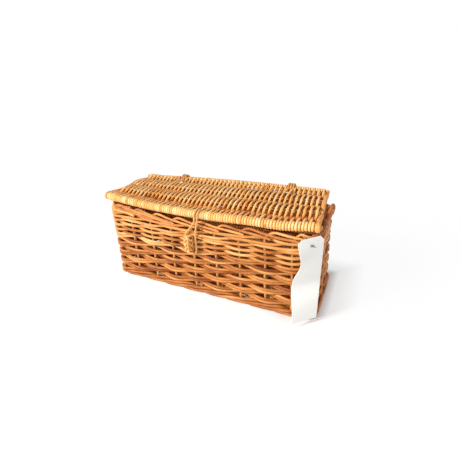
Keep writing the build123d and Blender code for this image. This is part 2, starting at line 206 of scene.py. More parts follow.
def station(index):
    """Distance round the plan of a stake, or a place between two, counted from the front left."""
    whole = math.floor(index)
    here, after = (STATIONS[i % COUNT] + ROUND * (i // COUNT) for i in (whole, whole + 1))
    return here + (after - here) * (index - whole)


def smooth_step(value, low, high):
    """Rises smoothly from 0 at low to 1 at high."""
    t = np.clip((value - low) / (high - low), 0, 1)
    return t * t * (3 - 2 * t)


def front_sag(x):
    """How far the lid's front edge hangs below a level line; its ends bend up."""
    aside = (x - LID_SHIFT) / (LID_LENGTH / 2)
    left = np.clip(-aside, 0, 1.1)
    lift = LEFT_LIFT * left**2 + RIGHT_LIFT * smooth_step(aside, 0.1, 0.5)
    return SAG - (lift + TIP_LIFT * smooth_step(aside, 0.7, 1.0))


def back_arch(x):
    """How far the lid's back edge arches up, most to the right of its middle."""
    aside = (x - LID_SHIFT) / (LID_LENGTH / 2)
    past = aside - ARCH_PEAK
    foot = np.where(past > 0, ARCH_RIGHT, ARCH_LEFT)
    arch = ARCH * np.cos(math.pi / 2 * np.clip(past / foot, -1, 1))
    return arch + BACK_LIFT * np.clip(aside, 0, 2) ** 3


def around(along, outward, height):
    """Points from distances along, outward and up: the front sunk, the back and left raised."""
    place, out = plan(along)
    line = np.column_stack([place + out * np.asarray(outward)[:, None], height])
    rising = np.clip((line[:, 2] - RAISED_FROM) / (BORDER_TOP - RAISED_FROM), 0, 1)
    sinking = np.clip((line[:, 2] - SAG_FROM) / (BORDER_TOP - SAG_FROM), 0, 1)
    front = smooth_step(-line[:, 1], *FRONT_SIDE)
    back = smooth_step(line[:, 1], *BACK_SIDE)
    left = smooth_step(-line[:, 0], *LEFT_SIDE) * (1 - back)
    line[:, 2] += rising * np.maximum(RAISED_BACK * back, RAISED * left)
    line[:, 2] -= sinking * front * (SUNK + np.clip(front_sag(line[:, 0]), -1, None))
    line[:, 0] *= 1 + LEAN * np.clip(1 - line[:, 2] / WALL_TOP, 0, 1)
    return line


def smooth_noise(distance, size, wave):
    """A gentle wander of about the given size along a rod."""
    total = np.zeros_like(distance)
    for share, stretch in ((0.6, 1.0), (0.4, 0.43)):
        phase, pull = rng.uniform(0, 2 * math.pi), rng.uniform(0.8, 1.25)
        total += share * np.sin(2 * math.pi * distance / (wave * stretch * pull) + phase)
    return size * total


def curve_through(points, step=1.6):
    """A smooth line through points, with a point about every step."""
    points = np.asarray(points, float)
    knots = np.array([2 * points[0] - points[1], *points, 2 * points[-1] - points[-2]])
    line = []
    for a, b, c, d in zip(knots, knots[1:], knots[2:], knots[3:]):
        count = max(2, int(np.linalg.norm(c - b) / step))
        t = np.linspace(0, 1, count, endpoint=False)[:, None]
        curve = 2 * b + (c - a) * t
        curve += (2 * a - 5 * b + 4 * c - d) * t**2
        curve += (3 * b - a - 3 * c + d) * t**3
        line.append(0.5 * curve)
    line.append(points[-1:])
    return np.concatenate(line)


class Rods:
    """Round rods gathered into one mesh, each with its own tone and grain."""

    def __init__(self):
        self.points, self.faces, self.tones, self.grains = [], [], [], []
        self.total = 0

    def add(self, line, radius, tone, flat=1.0, across=None):
        """A rod along a line; across is the direction that flat leaves as wide as it is.

        Tone is one number, or one for each point of each ring.
        """
        line = np.asarray(line, float)
        count = len(line)
        radius = np.broadcast_to(np.asarray(radius, float), (count,))
        run = np.gradient(line, axis=0)
        run /= np.linalg.norm(run, axis=1)[:, None]
        first = np.zeros((count, 3))
        guide = np.array(across if across is not None else (0.0, 0.0, 1.0))
        if across is None and abs(run[0] @ guide) > 0.9:
            guide = np.array((1.0, 0.0, 0.0))
        for i in range(count):
            side = guide - run[i] * (guide @ run[i])
            first[i] = side / np.linalg.norm(side)
            if across is None:
                guide = first[i]
        second = np.cross(run, first)
        angles = np.linspace(0, 2 * math.pi, SIDES, endpoint=False)
        cos, sin = np.cos(angles), np.sin(angles)
        ring = first[:, None] * cos[:, None] + second[:, None] * (flat * sin)[:, None]
        points = line[:, None] + ring * radius[:, None, None]
        far = np.concatenate([[0], np.cumsum(np.linalg.norm(np.diff(line, axis=0), axis=1))])
        start = rng.uniform(0, 5000)
        grain = np.empty((count, SIDES, 3))
        grain[:, :, 0] = (far + start)[:, None]
        grain[:, :, 1] = radius[:, None] * cos
        grain[:, :, 2] = radius[:, None] * sin
        corner = np.arange(count * SIDES).reshape(count, SIDES) + self.total
        after = np.roll(corner, -1, axis=1)
        quads = np.stack([corner[:-1], after[:-1], after[1:], corner[1:]], 2)
        self.faces += quads.reshape(-1, 4).tolist()
        # Cut ends have their own points, so that they can be paler
        self.points += [points.reshape(-1, 3) * MM, points[0] * MM, points[-1] * MM]
        self.grains += [grain.reshape(-1, 3) * MM, grain[0] * MM, grain[-1] * MM]
        tone = np.broadcast_to(np.asarray(tone, float), (count, SIDES))
        self.tones += [tone.ravel(), tone[0] + CUT_PALER, tone[-1] + CUT_PALER]
        ends = np.arange(2 * SIDES).reshape(2, SIDES) + self.total + count * SIDES
        self.faces += [ends[0][::-1].tolist(), ends[1].tolist()]
        self.total += (count + 2) * SIDES

    def piece(self, name, material, body, slot, nodes):
        """The finished mesh, riding on its body in place of its nodes."""
        mesh = bpy.data.meshes.new(name)
        mesh.from_pydata(np.concatenate(self.points).tolist(), [], self.faces)
        tone = mesh.attributes.new("tone", "FLOAT", "POINT")
        tone.data.foreach_set("value", np.concatenate(self.tones).astype(np.float32))
        grain = mesh.attributes.new("grain", "FLOAT_VECTOR", "POINT")
        grain.data.foreach_set("vector", np.concatenate(self.grains).astype(np.float32).ravel())
        place_piece(name, mesh, material, body, nodes, ROD_CREASE)


def linked(name, data):
    """A new object in the scene."""
    made = bpy.data.objects.new(name, data)
    bpy.context.scene.collection.objects.link(made)
    return made


def place_piece(name, mesh, material, body, nodes, crease):
    """A mesh as a piece of the object, smooth up to the crease's angle."""
    mesh.polygons.foreach_set("use_smooth", [True] * len(mesh.polygons))
    mesh.set_sharp_from_angle(angle=crease)
    mesh.materials.append(material)
    piece = linked(name, mesh)
    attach(piece, body)
    if nodes:
        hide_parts(*nodes)


# Materials
def linear(red, green, blue):
    """A colour given as it is seen, from 0 to 255."""
    parts = [channel / 255 for channel in (red, green, blue)]
    return [c / 12.92 if c <= 0.04045 else ((c + 0.055) / 1.055) ** 2.4 for c in parts] + [1.0]


def shader(name):
    """A new material with its nodes and a way to add and link them."""
    material = bpy.data.materials.new(name)
    material.use_nodes = True
    tree = material.node_tree
    surface = tree.nodes["Principled BSDF"]

    def add(kind, inputs=(), **settings):
        """A node with its inputs linked or set."""
        node = tree.nodes.new(kind)
        for key, value in settings.items():
            setattr(node, key, value)
        for key, value in dict(inputs).items():
            if hasattr(value, "is_output"):
                tree.links.new(value, node.inputs[key])
            else:
                node.inputs[key].default_value = value
        return node

    def link(output, key):
        """Lead an output to the surface."""
        tree.links.new(output, surface.inputs[key])

    return material, surface, add, link


def calc(add, operation, *values, **settings):
    """The result of a sum on outputs and numbers."""
    return add("ShaderNodeMath", enumerate(values), operation=operation, **settings).outputs[0]


def coloured(add, value, stops):
    """The colour for a value, from colours at places between 0 and 1."""
    ramp = add("ShaderNodeValToRGB", {"Fac": value})
    elements = ramp.color_ramp.elements
    while len(elements) < len(stops):
        elements.new(0.5)
    for element, (place, colour) in zip(elements, stops.items()):
        element.position = place
        element.color = linear(*colour)
    return ramp.outputs["Color"]


def willow(name, stops, roughness=0.5, streak=0.26, blotch=0.34):
    """Peeled willow: tone by rod, blotches and streaks along it, dark nodes here and there."""
    material, surface, add, link = shader(name)
    tone = add("ShaderNodeAttribute", attribute_name="tone")
    grain = add("ShaderNodeAttribute", attribute_name="grain")

    def drawn_out(stretch, scale, detail, rough, weight):
        """Noise drawn out along the rod, and its part in the tone."""
        inputs = {0: grain.outputs["Vector"], 1: (stretch, 1.0, 1.0)}
        place = add("ShaderNodeVectorMath", inputs, operation="MULTIPLY")
        noise = add(
            "ShaderNodeTexNoise",
            {"Vector": place.outputs[0], "Scale": scale, "Detail": detail, "Roughness": rough},
        )
        value = noise.outputs["Fac"]
        return value, calc(add, "MULTIPLY_ADD", value, 2 * weight, -weight)

    blotch_part = drawn_out(0.35, 95.0, 3.0, 0.6, blotch)[1]
    streaks, streak_part = drawn_out(0.05, 950.0, 2.0, 0.55, streak)
    mixed = calc(add, "ADD", blotch_part, streak_part)
    total = calc(add, "ADD", mixed, tone.outputs["Fac"], use_clamp=True)
    # Dark marks where side shoots grew
    spots = add("ShaderNodeTexVoronoi", {"Vector": grain.outputs["Vector"], "Scale": 42.0})
    near = add(
        "ShaderNodeMapRange",
        {"Value": spots.outputs["Distance"], "From Min": 0.05, "From Max": 0.16,
         "To Min": 0.55, "To Max": 0.0},
    )
    marks = add(
        "ShaderNodeMixRGB",
        {"Fac": near.outputs["Result"], "Color1": coloured(add, total, stops),
         "Color2": linear(112, 58, 26)},
    )
    link(marks.outputs["Color"], "Base Color")
    shine = add(
        "ShaderNodeMapRange",
        {"Value": streaks, "From Min": 0.3, "From Max": 0.7,
         "To Min": roughness - 0.08, "To Max": roughness + 0.12},
    )
    link(shine.outputs["Result"], "Roughness")
    relief = add("ShaderNodeBump", {"Height": streaks, "Strength": 0.35, "Distance": 0.0004})
    link(relief.outputs["Normal"], "Normal")
    surface.inputs["Specular IOR Level"].default_value = 0.26
    return material


WALL = willow(
    "wall_willow",
    {
        0.0: (84, 30, 8),
        0.3: (152, 80, 30),
        0.55: (206, 135, 67),
        0.8: (230, 171, 102),
        1.0: (244, 206, 144),
    },
)
BORDER = willow(
    "border_willow",
    {0.0: (84, 32, 10), 0.35: (156, 82, 36), 0.65: (212, 144, 76), 1.0: (240, 190, 122)},
)
PALE = willow(
    "lid_willow",
    {
        0.0: (84, 22, 2),
        0.25: (180, 90, 30),
        0.5: (238, 164, 86),
        0.75: (250, 190, 112),
        1.0: (253, 216, 156),
    },
)
STICKWOOD = willow(
    "stick_willow", {0.0: (132, 70, 30), 0.4: (192, 122, 60), 1.0: (232, 182, 114)}
)
CANEWOOD = willow(
    "cane", {0.0: (160, 96, 40), 0.4: (210, 148, 74), 1.0: (242, 198, 130)},
    roughness=0.42, blotch=0.2,
)


def tightness(along):
    """The back and the left end are woven closer than the front."""
    place, _ = plan(along)
    back, left = smooth_step(place[:, 1], *CLOSE_BACK), smooth_step(-place[:, 0], *CLOSE_LEFT)
    return np.maximum(back, left)


def rod_line(side, first, last, height, spread):
    """A woven rod between two distances round the wall; side gives 1 outside a stake.

    Spread lifts it where it passes a stake, away from the other rod of its pair. The second
    result is how much fuller the rod is along its way.
    """
    along = np.linspace(first, last, max(3, int(abs(last - first) / WEAVE_STEP)))
    sides = np.array([side(i) for i in range(3 * COUNT)], float)
    places = np.array([station(i) for i in range(3 * COUNT)])
    after = np.clip(np.searchsorted(places, along, side="right"), 1, 3 * COUNT - 1)
    t = (along - places[after - 1]) / (places[after] - places[after - 1])
    ease = (1 - np.cos(math.pi * t)) / 2
    weave = sides[after - 1] + (sides[after] - sides[after - 1]) * ease
    close = tightness(along)
    reach = WEAVE_REACH * (1 - CLOSE_REACH * close)
    outward = reach * weave * (1 + smooth_noise(along, 0.06, 130))
    lift = weave * (1 - close) + CLOSE_LIFT * np.abs(weave) ** 1.5 * close
    level = height + spread * lift + smooth_noise(along, 0.34, 120)
    return around(along, outward, level), 1 + CLOSE_FULLER * close


def plain(course):
    """Over one stake and under the next."""
    return lambda stake: 1 if (stake + course) % 2 == 0 else -1


def wale(row):
    """In front of two stakes and behind one."""
    return lambda stake: -1 if (stake + row) % WALE_RODS == 0 else 1


def taper(line, butt, tip):
    """Radius of a rod from its butt to its tip, a little uneven."""
    t = np.linspace(0, 1, len(line))
    uneven = 1 + 0.035 * np.sin(t * rng.uniform(20, 40) + rng.uniform(0, 6))
    return (butt + (tip - butt) * t) * uneven


def weave_rows(rods, first_row, sides, paired=False, last_spans=None):
    """Rows of rods from a row upwards, each made of several rods end to end.

    Last_spans are the stakes between which the rods of the last row run.
    """
    for step, side in enumerate(sides):
        row = first_row + step
        height = (row + 0.5) * ROW
        spread = (PAIR_SPREAD if step % 2 else -PAIR_SPREAD) if paired else 0.0
        ranges = last_spans
        if last_spans is None or step < len(sides) - 1:
            start = int(rng.integers(0, COUNT))
            hidden = [i for i in range(start, start + COUNT) if side(i) < 0]
            joins = sorted(rng.choice(hidden, ROD_JOINS, replace=False))
            ranges = list(zip(joins, [*joins[1:], joins[0] + COUNT]))
        for begin, end in ranges:
            tone = WALL_TONE + WALL_PALER * row / ROWS + rng.normal(0, 0.13)
            # Some tips end in sight, a little way past their stake
            past = rng.choice([-TIP_SHORT, -TIP_SHORT, TIP_PAST])
            first, last = station(begin) + TIP_SHORT, station(end) + past
            line, fuller = rod_line(side, first, last, height, spread)
            butt = rng.uniform(*WALL_BUTT)
            rods.add(line, taper(line, butt, butt - rng.uniform(*WALL_SLIM)) * fuller, tone)


def twisted_wale(rods, first_row, thick, tone):
    """Three rods twisted round the stakes: out low, past two stakes while rising, in again."""
    # Stakes passed, way out from the stakes' middle, and level in rows
    turn = [(0, -1, 0.3), (0.35, 0.5, 0.11), (0.7, 0.95, 0.2), (1.1, 1, 0.4)]
    turn += [(1.6, 1, 1.15), (2.1, 1, 1.75), (2.6, 0.2, 1.85)]
    before = [(p - WALE_RODS, w, l) for p, w, l in turn[-2:]]
    after = [(p + WALE_RODS, w, l) for p, w, l in turn[:3]]
    cycle = curve_through(before + turn + after, 0.05)
    for strand in range(WALE_RODS):
        along = np.linspace(TIP_SHORT, ROUND - TIP_SHORT, int(ROUND / 1.6))
        places = np.array([station(i) for i in range(-1, COUNT + 2)])
        count = np.interp(along, places, np.arange(-1, COUNT + 2))
        phase = np.mod(count + strand, WALE_RODS)
        way, level = (np.interp(phase, cycle[:, 0], cycle[:, k]) for k in (1, 2))
        outward = WEAVE_REACH * way + smooth_noise(along, 0.15, 90)
        height = (first_row + 0.5 + level) * ROW + smooth_noise(along, 0.2, 110)
        line = around(along, outward, height)
        rods.add(line, taper(line, thick, 0.96 * thick), tone + rng.normal(0, 0.07))


# Wall
rods = Rods()
twisted_wale(rods, 0, WALE_THICK, WALE_TONE)
rods.piece("bottom_wale_rods", WALL, "basket", "wall_willow", ["bottom_wale"])

rods = Rods()
weave_rows(rods, BOTTOM_WALE_ROWS, [plain(row // 2) for row in range(SLEW_ROWS)], paired=True)
rods.piece(
    "slewing_rods", WALL, "basket", "wall_willow",
    ["slewing_front", "slewing_back", "slewing_ends", "slewing_corners"],
)

rods = Rods()
weave_rows(rods, RAND_ROW, [plain(SLEW_ROWS // 2 + row) for row in range(TOP_ROW - RAND_ROW)])
rods.piece(
    "randing_rods", WALL, "basket", "wall_willow",
    ["randing_front", "randing_back", "randing_ends", "randing_corners"],
)

# The last row stops on each side of a hinge
HINGE_ROOM = 0.11  # as a share of the gap between two stakes
rods = Rods()
half = COUNT // 2
gaps = sorted(half + place for place in HINGE_PLACES)
weave_rows(
    rods, TOP_ROW, [wale(row) for row in range(TOP_WALE_ROWS)],
    last_spans=[
        (gaps[0] + HINGE_ROOM, gaps[1] - HINGE_ROOM),
        (gaps[1] + HINGE_ROOM, COUNT + 4),
        (COUNT + 4, COUNT + gaps[0] - HINGE_ROOM),
    ],
)
rods.piece("top_wale_rods", WALL, "basket", "wall_willow", ["top_wale"])


# Stakes
def stakes(name, numbers, node):
    """Uprights from the foot to the border."""
    rods = Rods()
    for index in numbers:
        height = np.linspace(CLEAR + 0.6, WALL_TOP + 1.0, 60)
        along = station(index) + smooth_noise(height, 0.5, 120)
        line = around(along, smooth_noise(height, 0.12, 90), height)
        radius = taper(line, STAKE_BUTT, STAKE_TIP)
        rods.add(line, radius, STAKE_TONE + rng.normal(0, 0.08), across=(0, 1, 0.01))
    rods.piece(name, STICKWOOD, "basket", "stake", [node])


last_front = FRONT_STAKES - 1
stakes("front_uprights", range(1, last_front), "front_stakes")
stakes("back_uprights", range(half + 1, half + last_front), "back_stakes")
corners = [0, *range(last_front, half)]
stakes("corner_uprights", [i + far for far in (0, half) for i in corners], "corner_stakes")


# Border
FRONT_LOW = 2.2  # the front border's rods start this much lower


def border_rod(index):
    """A stake's tip laid down slantwise past its neighbours, from inside the wall to outside.

    Each point is a distance round the wall, one outward and a height.
    """
    begin, after = station(index), station(index + 1)
    in_front = index < FRONT_STAKES
    # Stakes passed, with how far out and down each of them takes it
    spans, out, down = (2, 2.3, 4.3) if in_front else (BORDER_SPAN, 1.7, 3.4)
    low = FRONT_LOW if in_front else 0.0
    keys = [
        (begin + 0.4, 0.0, WALL_TOP - 2.0),
        (begin + 1.6, -1.8, WALL_TOP + 4.0 - low),
        (begin + 0.15 * (after - begin) + 3.0, -3.4, BORDER_TOP - 1.0 - low),
        (begin + 0.45 * (after - begin), -2.6, BORDER_TOP - 0.4 - 0.3 * low),
    ]
    for step in range(1, spans + 1):
        keys.append((station(index + step), step * out - 2.4, BORDER_TOP + 0.1 - step * down))
    keys.append((station(index + spans) + 9.0, keys[-1][1] + 0.6, keys[-1][2] - 1.6))
    return keys


def rolled_rod(index, high, wide):
    """At the right end a tip is rolled outwards in a loop past the next stake.

    Points are as in border_rod; high and wide stretch the loop.
    """
    begin, after = station(index), station(index + 1) + 20.0 * (wide - 1)
    return [
        (begin + 0.4, 0.0, WALL_TOP - 2.0),
        (begin + 1.0, 2.6, WALL_TOP + 8.0 * high),
        (begin + 5.0 * wide, 3.4 + 2.2 * high, WALL_TOP + 18.0 * high),
        (begin + 13.0 * wide, 4.0 + 3.0 * high, WALL_TOP + 24.5 * high),
        (begin + 24.0 * wide, 4.2 + 3.2 * high, WALL_TOP + 23.5 * high),
        (begin + 34.0 * wide, 4.2 + 2.8 * high, WALL_TOP + 14.0 * high),
        (after + 6.0, 4.2 + 1.8 * high, WALL_TOP + 5.0 * high),
        (after + 12.0, 4.2, WALL_TOP - 1.0),
    ]


# Stakes with rolled tips, and how high and wide each roll is
ROLLED = {FRONT_STAKES: (0.85, 1.0), FRONT_STAKES + 1: (1.1, 1.5), FRONT_STAKES + 2: (0.35, 1.0)}
ROLL_PARTS = (1.0, 0.7, 0.4)  # rods of a roll, one inside another
LINING_IN, LINING_UP = 7.2, 3.6  # how far in and up the lining rods of the back lie
LINING_ARCH = 0.95  # their share of the lid's arch
LINING_BUMP, LINING_BUMP_WIDTH = 2.6, 7.0  # their rise at each hinge


def border(name, numbers, node, lining=()):
    """Border rods of some stakes, and lining rods as (first stake, last stake, inward, rise)."""
    rods = Rods()
    # Lining rods inside the roll fill its dips and close the slot under the lid
    for first, last, inward, rise in lining:
        along = np.linspace(station(first), station(last), 200)
        level = BORDER_TOP - 0.6 + smooth_noise(along, 0.2, 120)
        line = around(along, np.full_like(along, -inward), level)
        line[:, 2] += rise * (LINING_UP + LINING_ARCH * back_arch(line[:, 0]))
        for place in (HINGE_LEFT, HINGE_RIGHT):
            from_hinge = (line[:, 0] - place) / LINING_BUMP_WIDTH
            line[:, 2] += rise * LINING_BUMP * np.exp(-(from_hinge**2))
        rods.add(line, taper(line, LINING_BUTT, LINING_TIP), LINING_TONE)
    for index in numbers:
        thick = BORDER_THIN if index < FRONT_STAKES + len(ROLLED) else BORDER_THICK
        lines = [(border_rod(index), thick, BORDER_TONE)]
        if index in ROLLED:
            high, wide = ROLLED[index]
            for part in ROLL_PARTS:
                lines.append((rolled_rod(index, high * part, wide), ROLL_THICK, ROLL_TONE))
        for keys, thick, tone in lines:
            flat = curve_through(keys)
            line = around(flat[:, 0], flat[:, 1], flat[:, 2])
            rods.add(line, taper(line, thick, 0.92 * thick), tone + rng.normal(0, 0.11))
    rods.piece(name, BORDER, "basket", "border_willow", [node])


straight = range(FRONT_STAKES - BORDER_SPAN)
bent = range(FRONT_STAKES - BORDER_SPAN, half)
border("front_border_rods", straight, "border_front")
border(
    "back_border_rods", [half + i for i in straight], "border_back",
    (
        (half - 1.0, half + 7.4, LINING_IN, 1.0),
        (half - 1.0, half + 7.4, LINING_IN, 0.5),
        (half + 7, COUNT, 1.2, 0.0),
    ),
)
border("corner_border_rods", [i + far for far in (0, half) for i in bent], "border_corners")


# Base
def room_inside(along, corner_along, corner_across):
    """Half the room inside the wall at a distance from the middle, less at rounded corners."""
    radius = CORNER_RADIUS - SKIN - BASE_ROOM
    past = max(0.0, abs(along) - corner_along)
    return corner_across + math.sqrt(max(0.0, radius**2 - past**2))


BASE_Z = STICK_REACH + 2.05  # the lowest rods just clear the floor
rods = Rods()
for y in BASE_STICK_PLACES:
    reach = room_inside(abs(y) + STICK / 2, CORNER_Y, CORNER_X)
    x = np.linspace(-reach, reach, 120) * (1 + LEAN)
    line = np.column_stack([x, y + smooth_noise(x, 0.3, 200), np.full_like(x, BASE_Z)])
    rods.add(line, taper(line, BASE_STICK_BUTT, BASE_STICK_TIP), BASE_TONE)
rods.piece("base_stick_rods", STICKWOOD, "basket", "stick", ["base_sticks"])

rods = Rods()
reach = CORNER_X + CORNER_RADIUS - SKIN - BASE_ROOM - BASE_PITCH / 2
each_side = int(reach / BASE_PITCH)
for row in range(-each_side, each_side + 1):
    turned = -1 if row % 2 == 0 else 1
    for strand in (-1, 0, 1):
        x = row * BASE_PITCH + strand * (BASE_PITCH / 3)
        half_y = room_inside(abs(row * BASE_PITCH) + BASE_PITCH / 2, CORNER_X, CORNER_Y)
        y = np.linspace(-half_y, half_y, 70)
        phase = np.clip(y / BASE_STICK_PLACES[-1], -1, 1)
        wave = turned * STICK_REACH * np.cos(math.pi * phase)
        wave *= 1 - 0.9 * smooth_step(np.abs(y), BASE_STICK_PLACES[-1], half_y)
        line = np.column_stack([x * (1 + LEAN) + smooth_noise(y, 0.2, 90), y, BASE_Z + wave])
        radius = taper(line, BASE_BUTT, BASE_TIP)
        rods.add(line, radius, BASE_TONE + rng.normal(0, 0.12), across=(1, 0, 0))
rods.piece("base_weave_rods", WALL, "basket", "base_willow", ["base_weave"])


# Lid
RIGHT_FRONT, RIGHT_BACK = 10.0, 4.0  # the right end runs askew: out in front, in at the back
LEFT_BACK = 9.0  # the left end runs out at the back


def bowed(line):
    """The lid's own warp: front edge sagged, back edge arched, and both ends askew."""
    line = np.array(line, float)
    forward = np.clip((AXIS_Y - line[:, 1]) / (2 * AXIS_Y), 0, 1)
    aside = (line[:, 0] - LID_SHIFT) / (LID_LENGTH / 2)
    right, left = np.clip(aside, 0, 2) ** 3, np.clip(-aside, 0, 2) ** 2
    askew = right * (RIGHT_FRONT * forward - RIGHT_BACK) - LEFT_BACK * left * (1 - forward) ** 2
    line[:, 0] += askew
    line[:, 2] += (1 - forward) * back_arch(line[:, 0])
    line[:, 2] -= forward**1.5 * front_sag(line[:, 0])
    return line


def lid_stick(name, places, node, thick, overhang):
    """Sticks along the lid, which slim towards their left tips."""
    rods = Rods()
    for y, z in places:
        x = np.linspace(-LID_LENGTH / 2 - overhang[0], LID_LENGTH / 2 + overhang[1], 140)
        line = np.column_stack([x + LID_SHIFT, np.full_like(x, y), np.full_like(x, z)])
        tip = 1 - 0.5 * smooth_step(-x, LID_LENGTH / 2 - 12, LID_LENGTH / 2 + 2)
        rods.add(bowed(line), taper(line, thick, 0.95 * thick) * tip, LID_STICK_TONE)
    rods.piece(name, STICKWOOD, "lid", "stick", [node])


FRONT_OVERHANG, OVERHANG = (1.5, 0.0), (-3.0, -3.0)  # past the lid's length, left and right
lid_stick(
    "lid_front_rod", [(-FRONT_Y, FRONT_Z)], "lid_front_stick", FRONT_STICK / 2, FRONT_OVERHANG
)
inner_places = [(-AXIS_Y + step * STICK_GAP, AXIS_Z) for step in range(1, STICKS - 1)]
lid_stick("lid_inner_rods", inner_places, "lid_inner_sticks", STICK / 2, OVERHANG)
lid_stick("lid_back_rod", [(AXIS_Y, AXIS_Z)], "lid_back_stick", STICK / 2, OVERHANG)


def lid_line(x, turned, last=STICKS - 1, reach=STICK_REACH, rim=RIM_REACH):
    """A lid weaver: round the front stick, over and under the next, round the last.

    Where last isn't the back stick, it ends in a straight tail.
    """
    angle = np.radians(np.linspace(335, 90, 30))
    y_parts = [-FRONT_Y + rim * np.cos(angle)]
    z_parts = [FRONT_Z + turned * rim * np.sin(angle)]
    start_y, start_z = y_parts[0][-1], z_parts[0][-1]
    for step in range(1, last + 1):
        t = np.linspace(0, 1, 21)[1:]
        end_y, end_z = -AXIS_Y + step * STICK_GAP, AXIS_Z + turned * reach * (-1) ** step
        y_parts.append(start_y + (end_y - start_y) * t)
        z_parts.append(start_z + (end_z - start_z) * (1 - np.cos(math.pi * t)) / 2)
        start_y, start_z = end_y, end_z
    if last == STICKS - 1:
        angle = np.radians(np.linspace(90, -150, 24))[1:]
        y_parts.append(AXIS_Y + reach * np.cos(angle))
        z_parts.append(AXIS_Z + turned * (-1) ** last * reach * np.sin(angle))
    else:
        y_parts.append(np.linspace(start_y, start_y + LID_TAIL, 8)[1:])
        z_parts.append(np.full(7, start_z))
    y, z = np.concatenate(y_parts), np.concatenate(z_parts)
    return np.column_stack([x + smooth_noise(y, 0.25, 60), y, z])


LID_TAIL = 27.0  # of a weaver that is cut short at a hinge
HINGE_SIDE = 7.0  # weavers nearer to a hinge than this are cut short
DIP_PAINTED_SHADE = 0.7  # painted shade: how much darker a weaver's upper side is painted where it dips under a stick
# The side of a weaver's outline that takes the painted shade: its upper side
PAINTED_SHADE_SIDE = smooth_step(-np.sin(np.linspace(0, 2 * math.pi, SIDES, endpoint=False)), -0.7, 0.3)
TIP_SLIM = 0.45  # share that the wound edge loses at its left tip
LEFT_FULLER = 0.26  # share that the weavers gain there
rods = Rods()
count = int((LID_LENGTH - 2 * (END_ROD + CLEAR)) / LID_PITCH)
for row in range(count):
    x = LID_SHIFT + (row - (count - 1) / 2) * LID_PITCH
    at_hinge = min(abs(x - HINGE_LEFT), abs(x - HINGE_RIGHT)) < HINGE_SIDE
    turned = 1 if row % 2 == 0 else -1
    to_tip = smooth_step(LID_SHIFT - x, LID_LENGTH / 2 - 16, LID_LENGTH / 2 + 4)
    last = STICKS - 2 if at_hinge else STICKS - 1
    line = lid_line(x, turned, last, rim=RIM_REACH * (1 - TIP_SLIM * to_tip))
    # Painted shade: past the first band, a weaver's upper side is painted darker where it dips
    # under a stick
    sunk = smooth_step(AXIS_Z - line[:, 2], -3.0, STICK_REACH)
    sunk *= smooth_step(line[:, 1], -FRONT_Y + 10, -FRONT_Y + 24)
    fuller = 1 + LEFT_FULLER * smooth_step(-x, 145, 168)
    dark = DIP_PAINTED_SHADE * sunk[:, None] * PAINTED_SHADE_SIDE[None, :]
    radius = taper(line, LID_BUTT, LID_TIP) * fuller
    tone = LID_TONE + rng.normal(0, 0.1) - dark
    rods.add(bowed(line), radius, tone, flat=LID_FLAT, across=(1, 0, 0))
rods.piece("lid_weaver_rods", PALE, "lid", "lid_willow", ["lid_weavers"])

rods = Rods()
END_IN = 1.3  # the end weavers lie this far in from the lid's ends
for side, rim, flat in ((-1, 0.62, 0.95), (1, 0.95, 0.75)):
    x = LID_SHIFT + side * ((LID_LENGTH - END_ROD) / 2 - END_IN)
    line = lid_line(x, 1, reach=0.5 * STICK_REACH, rim=RIM_REACH * rim)
    radius = taper(line, END_BUTT, END_TIP)
    rods.add(bowed(line), radius, LID_END_TONE, flat=flat, across=(1, 0, 0))
rods.piece("lid_end_weavers", PALE, "lid", "lid_willow", ["lid_end_rods"])


# Hinges
HINGE_BULGE = 4.2  # above a winding that would hug the lid's back stick
HINGE_OUT = 1.0  # and out behind the border
LINING_ROOM = 2.2  # to the lining rods that it goes round


def hinge(name, x, node, spread):
    """Cane wound round the lid's back edge and the border; spread widens its turns."""
    low = (ROWS - 0.5) * ROW
    share = (low - RAISED_FROM) / (BORDER_TOP - RAISED_FROM)
    low += share * RAISED_BACK
    inner = HALF_DEPTH - LINING_IN - LINING_ROOM - HINGE_CANE
    outer = max(HALF_DEPTH + BORDER_SKIN, AXIS_Y + CANE_REACH) + CLEAR + CANE / 2 + HINGE_OUT
    bulge = HINGE_BULGE + float(back_arch(x))
    bevel = 0.75 * CANE_REACH + 0.6 * bulge
    turn = [
        (inner, low + 1.0),
        (HALF_DEPTH, low - 0.8),
        (outer, low + 1.0),
        (outer, (low + AXIS_Z) / 2),
        (outer, AXIS_Z),
        (AXIS_Y + bevel, AXIS_Z + bevel),
        (AXIS_Y, AXIS_Z + CANE_REACH + bulge),
        (AXIS_Y - bevel, AXIS_Z + bevel),
        (AXIS_Y - 1.2 * CANE_REACH, AXIS_Z),
        (inner, (low + AXIS_Z) / 2),
    ]
    points = []
    for step in range(HINGE_TURNS * len(turn) + 1):
        y, z = turn[step % len(turn)]
        shift = (step / len(turn) - HINGE_TURNS / 2) * spread * HINGE_PITCH
        points.append((x + shift, y, z))
    rods = Rods()
    rods.add(curve_through(points, 1.2), HINGE_CANE, HINGE_TONE, across=(1, 0, 0))
    rods.piece(name, CANEWOOD, "basket", "cane", [node])


hinge("left_hinge_winding", HINGE_LEFT + 0.4, "hinge_left", 1.18)
hinge("right_hinge_winding", HINGE_RIGHT, "hinge_right", 1.24)

